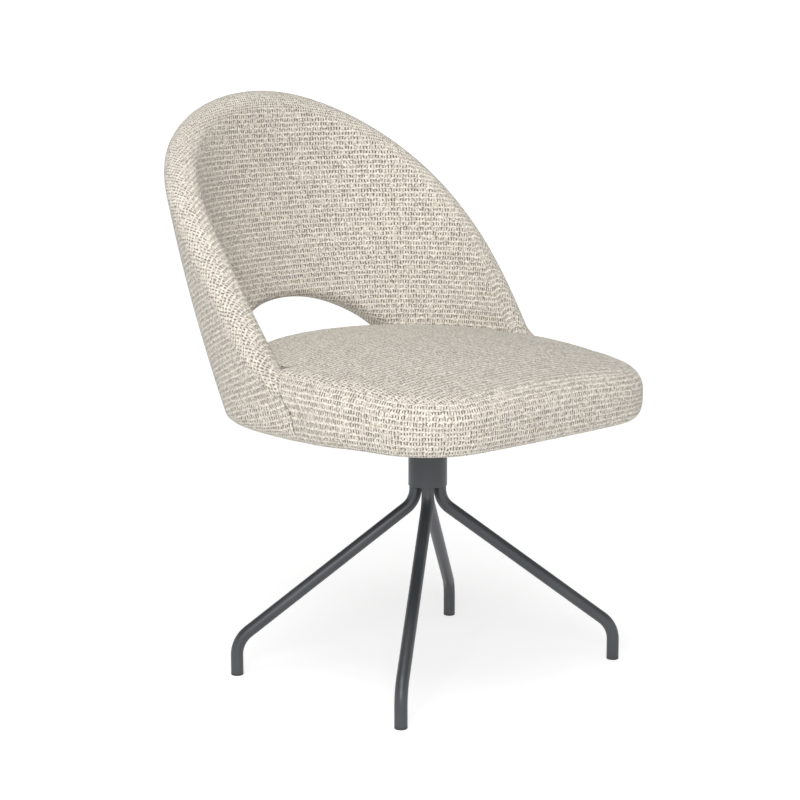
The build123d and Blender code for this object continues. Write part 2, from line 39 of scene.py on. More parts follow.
print("frame loaded:", len(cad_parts), "nodes")

# ---- camera
cameraSettings = {
    "lens": 91.515, "sensor": 36.0,     # mm
    "clipEnd": 60.0,
    "place": (-2.0566, -2.0008, 0.8969),
    "heading": -44.99,           # degrees from +Y, clockwise is negative
    "downTilt": 9.898,
}


def makeCamera(settings):
    data = bpy.data.cameras.new("camera")
    data.lens = settings["lens"]
    data.sensor_width = settings["sensor"]
    data.sensor_fit = "HORIZONTAL"
    data.clip_end = settings["clipEnd"]
    camera = bpy.data.objects.new("camera", data)
    camera.location = settings["place"]
    camera.rotation_euler = (radians(90 - settings["downTilt"]), 0.0, radians(settings["heading"]))
    scene.collection.objects.link(camera)
    scene.camera = camera


makeCamera(cameraSettings)
print("camera made")

# ---- studio: a white floor and soft light
studioSettings = {
    "floorReach": 7.0,           # from the chair to where the floor starts to curve up
    "backdropRadius": 2.6,
    "backdropHeight": 3.8,
    "flatRings": (1.0, 3.0),     # rings of the flat part before it curves
    "curveSteps": 24, "sides": 96,
    "floorColour": (0.45, 0.45, 0.45), "floorRoughness": 0.9,
    "glow": (0.67, 0.83),        # the sheet's own light near the chair and far from it
    "glowReach": (0.2, 3.2),
    "worldColour": (1.0, 1.0, 1.0),
    "worldStrength": 0.15,
    # name: place, aim, size across, size up, watts
    "lights": {
        "key": ((-2.9, -2.4, 2.2), (0.0, 0.05, 0.5), 2.0, 1.8, 101.0),
        "top": ((-0.9, -0.5, 3.3), (0.0, 0.0, 0.4), 2.4, 2.4, 76.0),
    },
}


def makeStudio(settings):
    # a round floor that curves up into a low wall on every side
    reach, radius = settings["floorReach"], settings["backdropRadius"]
    rings = settings["flatRings"]
    turns = np.linspace(0, np.pi / 2, settings["curveSteps"])
    distance = np.concatenate([rings, reach + radius * np.sin(turns), [reach + radius]])
    level = [np.zeros(len(rings)), radius * (1 - np.cos(turns)), [settings["backdropHeight"]]]
    level = np.concatenate(level)
    angles = np.linspace(0, 2 * np.pi, settings["sides"], endpoint=False)
    flat = distance[:, None, None] * np.stack([np.cos(angles), np.sin(angles)], -1)
    sheet = np.concatenate([flat, np.repeat(level[:, None, None], len(angles), 1)], -1)
    numbers = np.arange(sheet.shape[0] * len(angles)).reshape(-1, len(angles))
    following = np.roll(numbers, -1, 1)
    quads = np.stack([numbers[:-1], numbers[1:], following[1:], following[:-1]], -1)
    quads = quads.reshape(-1, 4)
    mesh = bpy.data.meshes.new("studioFloor")
    mesh.from_pydata(sheet.reshape(-1, 3).tolist(), [], [numbers[0].tolist()] + quads.tolist())
    mesh.polygons.foreach_set("use_smooth", np.ones(len(quads) + 1, bool))
    floor = bpy.data.objects.new("studioFloor", mesh)
    scene.collection.objects.link(floor)
    mesh.materials.append(makePaper(settings))
    world = bpy.data.worlds.new("studioWorld")
    world.use_nodes = True
    sky = world.node_tree.nodes["Background"].inputs
    sky["Color"].default_value = (*settings["worldColour"], 1)
    sky["Strength"].default_value = settings["worldStrength"]
    scene.world = world
    for name, (place, aim, across, up, watts) in settings["lights"].items():
        data = bpy.data.lights.new(name, "AREA")
        data.shape = "RECTANGLE"
        data.size = across
        data.size_y = up
        data.energy = watts
        light = bpy.data.objects.new(name, data)
        light.location = place
        turn = (Vector(aim) - Vector(place)).to_track_quat("-Z", "Y")
        light.rotation_euler = turn.to_euler()
        scene.collection.objects.link(light)
    scene.view_settings.view_transform = "Standard"


# ---- shader maths: a wrapped socket takes part in plain expressions
class Value:
    def __init__(self, finish, socket):
        self.finish = finish
        self.socket = socket

    def maths(self, operation, *others):
        return self.finish.maths(operation, self, *others)

    def __add__(self, other):
        return self.maths("ADD", other)

    def __radd__(self, other):
        return self.finish.maths("ADD", other, self)

    def __sub__(self, other):
        return self.maths("SUBTRACT", other)

    def __rsub__(self, other):
        return self.finish.maths("SUBTRACT", other, self)

    def __mul__(self, other):
        return self.maths("MULTIPLY", other)

    def __truediv__(self, other):
        return self.maths("DIVIDE", other)


class Finish:
    def __init__(self, name):
        self.material = bpy.data.materials.new(name)
        self.material.use_nodes = True
        self.tree = self.material.node_tree
        self.shader = self.tree.nodes["Principled BSDF"]

    # one node: its type, its settings, its sockets by name or number, and the output wanted
    def node(self, kind, settings=None, sockets=None, output=0):
        made = self.tree.nodes.new("ShaderNode" + kind)
        for key, value in (settings or {}).items():
            setattr(made, key, value)
        for key, value in (sockets or {}).items():
            if isinstance(value, Value):
                self.tree.links.new(value.socket, made.inputs[key])
            else:
                made.inputs[key].default_value = value
        return Value(self, made.outputs[output])

    def maths(self, operation, *values):
        return self.node("Math", {"operation": operation}, dict(enumerate(values)))

    def floor(self, value):
        return self.maths("FLOOR", value)

    def fraction(self, value):
        return self.maths("FRACT", value)

    def size(self, value):
        return self.maths("ABSOLUTE", value)

    # 0 below low, 1 above high, smooth between; low may be the larger
    def smooth(self, value, low, high):
        wanted = {"Value": value, "From Min": low, "From Max": high}
        return self.node("MapRange", {"interpolation_type": "SMOOTHSTEP"}, wanted)

    # a mix of two colours
    def tint(self, share, first, second):
        first = (*first, 1) if isinstance(first, tuple) else first
        second = (*second, 1) if isinstance(second, tuple) else second
        return self.node("Mix", {"data_type": "RGBA"}, {0: share, 6: first, 7: second}, 2)

    def part(self, vector, axis):
        return self.node("SeparateXYZ", None, {0: vector}, axis)

    def noise(self, vector, scale, detail=2.0, roughness=0.5):
        wanted = {"Vector": vector, "Scale": scale, "Detail": detail, "Roughness": roughness}
        return self.node("TexNoise", None, wanted)

    # an even chance from 0 to 1 for each pair of whole numbers
    def random(self, x, y):
        place = self.node("CombineXYZ", None, {0: x, 1: y, 2: 0.0})
        return self.node("TexWhiteNoise", {"noise_dimensions": "2D"}, {0: place})

    def objectPlace(self):
        return self.node("TexCoord", None, None, 3)

    def uvPlace(self, layer):
        return self.node("UVMap", {"uv_map": layer})

    def stretched(self, vector, x, y, z):
        return self.node("Mapping", None, {0: vector, 3: (x, y, z)})

    def feed(self, name, value):
        if isinstance(value, Value):
            self.tree.links.new(value.socket, self.shader.inputs[name])
        else:
            value = (*value, 1) if isinstance(value, tuple) else value
            self.shader.inputs[name].default_value = value

    def bump(self, height, distance, strength):
        wanted = {"Height": height, "Distance": distance, "Strength": strength}
        self.feed("Normal", self.node("Bump", None, wanted))


# Matt grey paper with a light of its own, so that the floor looks white and its shadows faint.
def makePaper(settings):
    finish = Finish("studioFloor")
    place = finish.objectPlace()
    distance = finish.node("VectorMath", {"operation": "LENGTH"}, {0: place}, 1)
    near, far = ((level,) * 3 for level in settings["glow"])
    finish.feed("Base Color", settings["floorColour"])
    finish.feed("Roughness", settings["floorRoughness"])
    share = finish.smooth(distance, *settings["glowReach"])
    finish.feed("Emission Color", finish.tint(share, near, far))
    finish.feed("Emission Strength", 1.0)
    return finish.material


makeStudio(studioSettings)
print("studio made")

# ---- finishes: a noise is given as scale, detail and roughness, a range as its start and end
tweedSettings = {
    "rowPitch": 0.0078,          # from one row of loops to the next
    "tickPitch": 0.0041,         # from one loop to the next along the row
    "stitch": 0.0019,            # one stitch of the ground
    "drift": (30.0, 2.0), "driftReach": 0.004,          # the loops wander along the row
    "wander": (1.0, 3.0, 0.7), "wanderReach": 0.0026,   # the rows wander up and down
    "wanderStretch": (90.0, 110.0, 1.0),
    "rowShift": 0.2, "tickShift": 0.2,                  # in loops
    "seeds": (3.0, 51.0, 97.0),
    "tickWidth": (0.23, 0.09), "tickFade": 0.07,        # in loops, in rows
    "tickFoot": (0.06, 0.30), "tickHead": (0.66, 0.28),     # lowest place and spread, in rows
    "capHeight": (0.12, 0.04), "capWidth": (0.5, 0.3),
    "capChance": (0.45, 0.75), "capDarkness": 0.75,
    "patch": (60.0, 3.0, 0.6), "fibres": (600.0, 3.0, 0.85),
    "darknessShares": (0.6, 0.5, 0.9),                  # of chance, patch and fibres
    "darknessRange": (0.12, 0.62),
    "stitchShare": 0.62, "fibreShare": 0.55,
    "lineFoot": (0.16, 0.04), "lineHead": (0.86, 0.98),     # the yarn between two rows
    "lineCover": 0.7, "lineLight": 0.18,
    "shadeRange": (0.52, 0.22), "shadeShare": 0.8,
    "paleRange": (0.52, 0.95), "fleckAndGapShadeShare": 0.95,
    "light": (0.54, 0.495, 0.43), "pale": (0.74, 0.70, 0.625),
    # the ticks' near-black colour stands for dark fibres and for painted shade in the gaps between
    # the loops
    "shade": (0.27, 0.24, 0.20), "fleckAndGapShade": (0.034, 0.027, 0.021),
    "reliefShares": (0.35, 0.7, 1.3),                   # of line yarn, tick and ground
    "relief": 0.0011, "reliefStrength": 0.8,
    "roughness": 0.92, "sheen": 0.12, "sheenRoughness": 0.5, "specular": 0.2,
}


# Rows of short dark ticks between small loops, in a ground of fine pale and grey stitches.
# The ticks of all rows stand over each other, so that they make columns too.
def makeTweed(name, s=tweedSettings):
    finish = Finish(name)
    place = finish.uvPlace("weave")
    drift = finish.noise(place, *s["drift"])
    along = finish.part(place, 0) + (drift - 0.5) * s["driftReach"]
    wander = finish.noise(finish.stretched(place, *s["wanderStretch"]), *s["wander"])
    up = finish.part(place, 1) + (wander - 0.5) * s["wanderReach"]

    row = up / s["rowPitch"]
    rowNumber = finish.floor(row)
    rowPart = finish.fraction(row)
    rowSeed, secondSeed, thirdSeed = s["seeds"]
    loop = along / s["tickPitch"] + finish.random(rowNumber, rowSeed) * s["rowShift"]
    loopNumber = finish.floor(loop)
    chance = finish.random(loopNumber, rowNumber)
    secondChance = finish.random(loopNumber + secondSeed, rowNumber)
    thirdChance = finish.random(loopNumber + thirdSeed, rowNumber)

    # a tick per loop, with its own foot, head and darkness, and now and then a cap on its head;
    # ticks and caps are dark fibres and also painted shade in the gaps between the loops
    side = finish.size(finish.fraction(loop) - 0.5 + (chance - 0.5) * s["tickShift"])
    fade = s["tickFade"]
    foot = s["tickFoot"][0] + secondChance * s["tickFoot"][1]
    head = s["tickHead"][0] + thirdChance * s["tickHead"][1]
    tick = finish.smooth(side, *s["tickWidth"])
    tick = tick * finish.smooth(rowPart, foot - fade, foot + fade)
    tick = tick * finish.smooth(rowPart, head + fade, head - fade)
    cap = finish.smooth(finish.size(rowPart - head), *s["capHeight"])
    cap = cap * finish.smooth(side, *s["capWidth"])
    cap = cap * finish.smooth(chance, *s["capChance"]) * s["capDarkness"]
    patch = finish.noise(place, *s["patch"])
    fibres = finish.noise(place, *s["fibres"])
    byChance, byPatch, byFibre = s["darknessShares"]
    darkness = secondChance * byChance + patch * byPatch + (fibres - 0.5) * byFibre
    dark = finish.maths("MAXIMUM", tick, cap) * finish.smooth(darkness, *s["darknessRange"])

    # the ground: one small stitch per cell, each with its own shade
    stitch = finish.random(finish.floor(along / s["stitch"]), finish.floor(up / s["stitch"]))
    ground = stitch * s["stitchShare"] + fibres * s["fibreShare"]
    lineYarn = finish.smooth(rowPart, *s["lineFoot"]) + finish.smooth(rowPart, *s["lineHead"])
    shade = finish.smooth(ground, *s["shadeRange"]) * (1.0 - lineYarn * s["lineCover"])
    bright = finish.smooth(ground + lineYarn * s["lineLight"], *s["paleRange"])
    yarn = finish.tint(bright, s["light"], s["pale"])
    cloth = finish.tint(shade * s["shadeShare"], yarn, s["shade"])
    # painted shade: the ticks pull the cloth to near black, for dark fibres and for the shade in
    # the gaps between the loops
    cloth = finish.tint(dark * s["fleckAndGapShadeShare"], cloth, s["fleckAndGapShade"])
    finish.feed("Base Color", cloth)

    ofLine, ofTick, ofGround = s["reliefShares"]
    height = lineYarn * ofLine - dark * ofTick + ground * ofGround
    finish.bump(height, s["relief"], s["reliefStrength"])
    finish.feed("Roughness", s["roughness"])
    finish.feed("Sheen Weight", s["sheen"])
    finish.feed("Sheen Roughness", s["sheenRoughness"])
    finish.feed("Specular IOR Level", s["specular"])
    return finish.material


coatSettings = {
    "colour": (0.048, 0.05, 0.055), "worn": (0.062, 0.065, 0.07),
    "cloud": (9.0, 3.0), "wornRange": (0.3, 0.75), "grain": (1400.0, 2.0),
    "roughness": 0.4, "grainRoughness": 0.12, "cloudRoughness": 0.08, "metallic": 0.35,
    "relief": 0.00012, "reliefStrength": 0.6,
}


# Satin powder coat: a fine orange-peel surface, a little lighter in clouds where it is worn.
def makePowderCoat(name, s=coatSettings):
    finish = Finish(name)
    place = finish.objectPlace()
    cloud = finish.noise(place, *s["cloud"])
    grain = finish.noise(place, *s["grain"])
    worn = finish.smooth(cloud, *s["wornRange"])
    finish.feed("Base Color", finish.tint(worn, s["colour"], s["worn"]))
    roughness = s["roughness"] + (grain - 0.5) * s["grainRoughness"]
    finish.feed("Roughness", roughness + (cloud - 0.5) * s["cloudRoughness"])
    finish.feed("Metallic", s["metallic"])
    finish.bump(grain, s["relief"], s["reliefStrength"])
    return finish.material


steelSettings = {
    "scratch": (1.0, 3.0, 0.7), "scratchStretch": (60.0, 60.0, 900.0),
    "cloud": (35.0, 3.0), "cloudRange": (0.3, 0.7), "dulled": 0.72,
    "scratchRoughness": 0.16, "relief": 0.00008, "reliefStrength": 0.5,
}


# Drawn steel, plated or blackened: long faint scratches and clouds of dullness.
def makeSteel(name, colour, roughness, s=steelSettings):
    finish = Finish(name)
    place = finish.objectPlace()
    scratches = finish.noise(finish.stretched(place, *s["scratchStretch"]), *s["scratch"])
    cloud = finish.noise(place, *s["cloud"])
    dulled = tuple(channel * s["dulled"] for channel in colour)
    finish.feed("Base Color", finish.tint(finish.smooth(cloud, *s["cloudRange"]), dulled, colour))
    finish.feed("Metallic", 1.0)
    finish.feed("Roughness", roughness + scratches * s["scratchRoughness"])
    finish.bump(scratches, s["relief"], s["reliefStrength"])
    return finish.material


mouldedSettings = {
    "grain": (1800.0, 2.0), "cloud": (20.0, 2.0), "cloudShare": 0.6, "lighter": 1.35,
    "grainRoughness": 0.15, "relief": 0.00006, "reliefStrength": 0.5,
}


# Moulded plastic: nearly even, with a fine spark-eroded grain.
def makeMoulded(name, colour, roughness, s=mouldedSettings):
    finish = Finish(name)
    place = finish.objectPlace()
    grain = finish.noise(place, *s["grain"])
    cloud = finish.noise(place, *s["cloud"])
    lighter = tuple(min(1.0, channel * s["lighter"]) for channel in colour)
    finish.feed("Base Color", finish.tint(cloud * s["cloudShare"], colour, lighter))
    finish.feed("Roughness", roughness + grain * s["grainRoughness"])
    finish.bump(grain, s["relief"], s["reliefStrength"])
    return finish.material


plywoodSettings = {
    "grain": (1.0, 4.0, 0.6), "grainStretch": (160.0, 9.0, 160.0), "grainRange": (0.3, 0.7),
    "plyTurn": 2244.0,           # radians per metre: two plies in 2.8 mm
    "plyRange": (0.2, 0.8), "plyShare": 0.35,
    "early": (0.42, 0.27, 0.14), "late": (0.62, 0.45, 0.27), "ply": (0.33, 0.2, 0.1),
    "roughness": 0.62, "grainRoughness": 0.2, "relief": 0.0002, "reliefStrength": 0.6,
}


# Birch plywood: the plies show as bands on the edges, long grain on the faces.
def makePlywood(name, s=plywoodSettings):
    finish = Finish(name)
    place = finish.objectPlace()
    grain = finish.noise(finish.stretched(place, *s["grainStretch"]), *s["grain"])
    plies = finish.maths("SINE", finish.part(place, 2) * s["plyTurn"])
    face = finish.tint(finish.smooth(grain, *s["grainRange"]), s["early"], s["late"])
    plyShare = finish.smooth(plies, *s["plyRange"]) * s["plyShare"]
    finish.feed("Base Color", finish.tint(plyShare, face, s["ply"]))
    finish.feed("Roughness", s["roughness"] + grain * s["grainRoughness"])
    finish.bump(grain, s["relief"], s["reliefStrength"])
    return finish.material


dustClothSettings = {
    "fibres": (700.0, 4.0, 0.8), "dark": (0.012, 0.012, 0.013), "light": (0.05, 0.05, 0.052),
    "dotPitch": 0.003, "dotRange": (0.38, 0.2), "dotDepth": 0.7,
    "roughness": 0.85, "fibreRoughness": 0.1, "relief": 0.0004, "reliefStrength": 0.8,
}


# Non-woven dust cloth: matt black felted fibres with a faint embossed grid of dots.
def makeDustCloth(name, s=dustClothSettings):
    finish = Finish(name)
    place = finish.uvPlace("weave")
    fibres = finish.noise(place, *s["fibres"])
    dotX, dotY = [finish.size(finish.fraction(finish.part(place, axis) / s["dotPitch"]) - 0.5)
                  for axis in (0, 1)]
    dots = finish.smooth(dotX + dotY, *s["dotRange"])
    finish.feed("Base Color", finish.tint(fibres, s["dark"], s["light"]))
    finish.feed("Roughness", s["roughness"] + fibres * s["fibreRoughness"])
    finish.bump(fibres - dots * s["dotDepth"], s["relief"], s["reliefStrength"])
    return finish.material


tweed = makeTweed("tweedCloth")
blackCoat = makePowderCoat("anthraciteCoat")
zincSteel = makeSteel("zincPlatedSteel", (0.62, 0.63, 0.64), 0.32)
springSteel = makeSteel("blackenedSteel", (0.2, 0.2, 0.21), 0.38)
glidePlastic = makeMoulded("glidePlastic", (0.028, 0.029, 0.031), 0.5)
bushPlastic = makeMoulded("bushPlastic", (0.6, 0.58, 0.52), 0.4)
plywood = makePlywood("birchPlywood")
dustCloth = makeDustCloth("dustCloth")

nodeFinishes = {
    blackCoat: ["leg_front_left", "leg_front_right", "leg_rear_left", "leg_rear_right",
                "hub_collar"],
    glidePlastic: ["glide_front_left", "glide_front_right",
                   "glide_rear_left", "glide_rear_right"],
    springSteel: ["hub_plate", "bearing_housing", "retaining_ring", "seat_plate"],
    zincSteel: ["seat_spindle", "plate_washers", "plate_bolts", "t_nuts", "shell_brackets",
                "bracket_foot_screws", "bracket_shell_screws", "cover_staples"],
    bushPlastic: ["lower_bush", "upper_bush", "thrust_washer"],
    plywood: ["seat_board", "back_shell"],
}
for finishMaterial, nodeNames in nodeFinishes.items():
    for nodeName in nodeNames:
        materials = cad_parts[nodeName].data.materials
        materials.clear()
        materials.append(finishMaterial)
print("finishes made")


# ---- meshes from grids
# places is rows x columns x 3, and the last column joins the first. The rows close in a ring
# too, or end in two poles. uvOf gives the weave map for each corner of a face, so that the
# pattern may jump along a line of faces.
def makeGridPiece(name, places, poles, uvOf, material):
    rows, columns = places.shape[:2]
    count = rows * columns
    numbers = np.arange(count).reshape(rows, columns)
    low = numbers[:-1] if poles else numbers
    high = numbers[1:] if poles else np.roll(numbers, -1, 0)
    quads = np.stack([low, np.roll(low, -1, 1), np.roll(high, -1, 1), high], -1).reshape(-1, 4)
    vertices = places.reshape(-1, 3)
    faces = [tuple(face) for face in quads.tolist()]
    if poles:
        vertices = np.vstack([vertices, poles[0], poles[1]])
        firstRow, lastRow = numbers[0], numbers[-1]
        start = np.stack([np.full(columns, count), np.roll(firstRow, -1), firstRow], -1)
        end = np.stack([np.full(columns, count + 1), lastRow, np.roll(lastRow, -1)], -1)
        faces += [tuple(face) for face in np.vstack([start, end]).tolist()]
    mesh = bpy.data.meshes.new(name)
    mesh.from_pydata(vertices.tolist(), [], faces)
    mesh.polygons.foreach_set("use_smooth", np.ones(len(faces), bool))
    cornerVertices = np.zeros(len(mesh.loops), np.int32)
    mesh.loops.foreach_get("vertex_index", cornerVertices)
    faceSizes = np.array([len(face) for face in faces])
    cornerFaces = np.repeat(np.arange(len(faces)), faceSizes)
    layer = mesh.uv_layers.new(name="weave")
    corners = uvOf(cornerVertices, cornerFaces, vertices)
    layer.data.foreach_set("uv", corners.astype(np.float32).ravel())
    mesh.materials.append(material)
    mesh.validate()
    mesh.update()
    piece = bpy.data.objects.new(name, mesh)
    scene.collection.objects.link(piece)
    return piece


def smoothStep(low, high, value):
    share = np.clip((value - low) / (high - low), 0, 1)
    return share * share * (3 - 2 * share)


# ---- tub: one wall for the back and the arms
tubSettings = {
    "halfWall": 0.024, "underside": 0.370, "centreY": 0.040, "referenceHeight": 0.450,
    "sideReach": 0.2555, "sideFlare": 0.153, "sideBow": 0.13,
    "rearReach": 0.2437, "rearLean": 0.5015, "rearBow": 0.804, "roundness": 2.21,
    "armRim": 0.4433, "topRim": 0.8053, "rimBulge": 0.18,
    "openingHalf": 0.162, "openingBottom": 0.425, "openingTop": 0.5175,
    "openingCorner": 0.009, "openingEdge": 0.017,
    "cornerStart": 1.1, "cornerInset": 1.06,            # in corner radii
    "endY": 0.0314,              # the arm's end, before the seam is slanted
    "endBulge": 0.0008, "endRoundness": 8,
    "skinRows": 66, "edgeRows": 16, "bendRows": 7, "tunnelRows": 6, "endColumns": 14,
    "outlineStep": 0.0042, "meanRadius": 0.26,
    # the weave: how far its rows on the outside drop towards the rear
    "rowTilt": 0.1026, "tiltReach": 1.8, "tiltSoftness": 0.4, "tiltBase": 0.012,
    "weaveRadius": 0.262, "weaveRise": 1.06, "rimSlope": 1.39,
    "leanStep": 0.001,
}

# The seam between arm and seat: its plane before it is slanted, and its real place by height.
seamSettings = {
    "plane": 0.030, "fade": 0.14, "sideStart": 0.10, "sideFull": 0.19,
    "heights": [0.36, 0.394, 0.415, 0.4433, 0.467],
    "places": [-0.018, -0.0135, -0.009, 0.016, 0.036],
}


# Distance from the tub's upright centre line to the middle of its wall: behind the line a
# rounded oval whose two reaches change with height, in front of it two straight sides.
def wallRadius(angle, height, s=tubSettings):
    rise = height - s["referenceHeight"]
    side = s["sideReach"] + s["sideFlare"] * rise + s["sideBow"] * rise * rise
    rear = s["rearReach"] + s["rearLean"] * rise - s["rearBow"] * rise * rise
    across = np.abs(np.cos(angle))
    along = np.maximum(np.sin(angle), 0.0)
    power = s["roundness"]
    oval = ((across / side) ** power + (along / rear) ** power) ** (-1 / power)
    return np.where(np.sin(angle) <= 0, side / across, oval)


def wallLean(angle, height, s=tubSettings):
    step = s["leanStep"]
    lean = (wallRadius(angle, height + step) - wallRadius(angle, height - step)) / (2 * step)
    return lean, np.sqrt(lean * lean + 1)


# The wall's middle at an angle and height, moved square to the wall by out, along it by up.
def wallPlace(angle, height, out, up, s=tubSettings):
    lean, length = wallLean(angle, height)
    radius = wallRadius(angle, height) + (out + up * lean) / length
    level = height + (up - out * lean) / length
    return np.stack([radius * np.cos(angle), s["centreY"] + radius * np.sin(angle), level], -1)


# Height of the rim's centre: it climbs with the sine of the angle, with a slight swelling.
def rimHeight(angle, s=tubSettings):
    along = np.sin(angle)
    swollen = along + s["rimBulge"] * along * along * (1 - along)
    return s["armRim"] + (s["topRim"] - s["armRim"]) * swollen


def resample(path, count):
    path = np.asarray(path, float)
    steps = np.hypot(*np.diff(path, axis=0).T)
    along = np.concatenate([[0], np.cumsum(steps)])
    wanted = np.linspace(0, along[-1], count)
    return np.stack([np.interp(wanted, along, path[:, axis]) for axis in range(path.shape[1])], -1)


# Seen from the side, the seam slants forward as it drops. Both its sides move by the same
# shear, which fades out along the arm.
def slantSeam(places, s=seamSettings):
    shift = np.interp(places[..., 2], s["heights"], s["places"]) - s["plane"]
    share = 1 - smoothStep(0.0, s["fade"], np.abs(places[..., 1] - s["plane"]))
    side = smoothStep(s["sideStart"], s["sideFull"], np.abs(places[..., 0]))
    moved = places.copy()
    moved[..., 1] += shift * share * side
    return moved


# The opening seen from the front: a half ellipse on a straight foot, with rounded corners.
# Returns points and the outward direction at each, from the right corner over the top.
def openingOutline(topCount, sideCount, bottomCount, s=tubSettings):
    half, low, high = s["openingHalf"], s["openingBottom"], s["openingTop"]
    corner, samples, smoothings = s["openingCorner"], 400, 6
    turn = np.linspace(0, np.pi, samples)
    ellipse = np.stack([half * np.cos(turn), low + (high - low) * np.sin(turn)], -1)
    arch = ellipse[ellipse[:, 1] > low + corner * s["cornerStart"]]
    cornerCount, split, sideReach = 30, 15, 4
    cornerTurn = np.linspace(0, np.pi / 2, cornerCount)
    centre = np.array([-half + corner * s["cornerInset"], low + corner])
    leftCorner = centre + corner * np.stack([-np.cos(cornerTurn), -np.sin(cornerTurn)], -1)
    rightCorner = leftCorner[::-1] * [-1, 1]
    top = np.vstack([rightCorner[split:], arch, leftCorner[:split]])
    left = leftCorner[split - 1:split + sideReach]
    bottom = np.vstack([leftCorner[split + sideReach - 1:], rightCorner[:split - sideReach + 1]])
    right = rightCorner[split - sideReach:split + 1]
    pieces = [(top, topCount), (left, sideCount), (bottom, bottomCount), (right, sideCount)]
    path = np.vstack([resample(part, count + 1)[:-1] for part, count in pieces])
    tangent = np.roll(path, -1, 0) - np.roll(path, 1, 0)
    for _ in range(smoothings):
        tangent = (np.roll(tangent, 1, 0) + tangent * 2 + np.roll(tangent, -1, 0)) / 4
    tangent /= np.linalg.norm(tangent, axis=1, keepdims=True)
    return path, np.stack([tangent[:, 1], -tangent[:, 0]], -1)


# Where the line of sight from the front at x and z meets a skin of the wall: the angle and
# the height of the wall's middle there, found by repeating.
def skinUnder(x, z, out, repeats=12):
    height = z.copy()
    angle = np.full_like(z, np.pi / 2)
    for _ in range(repeats):
        lean, length = wallLean(angle, height)
        height = z + out * lean / length
        radius = wallRadius(angle, height) + out / length
        angle = np.arccos(np.clip(x / radius, -1, 1))
    return angle, height


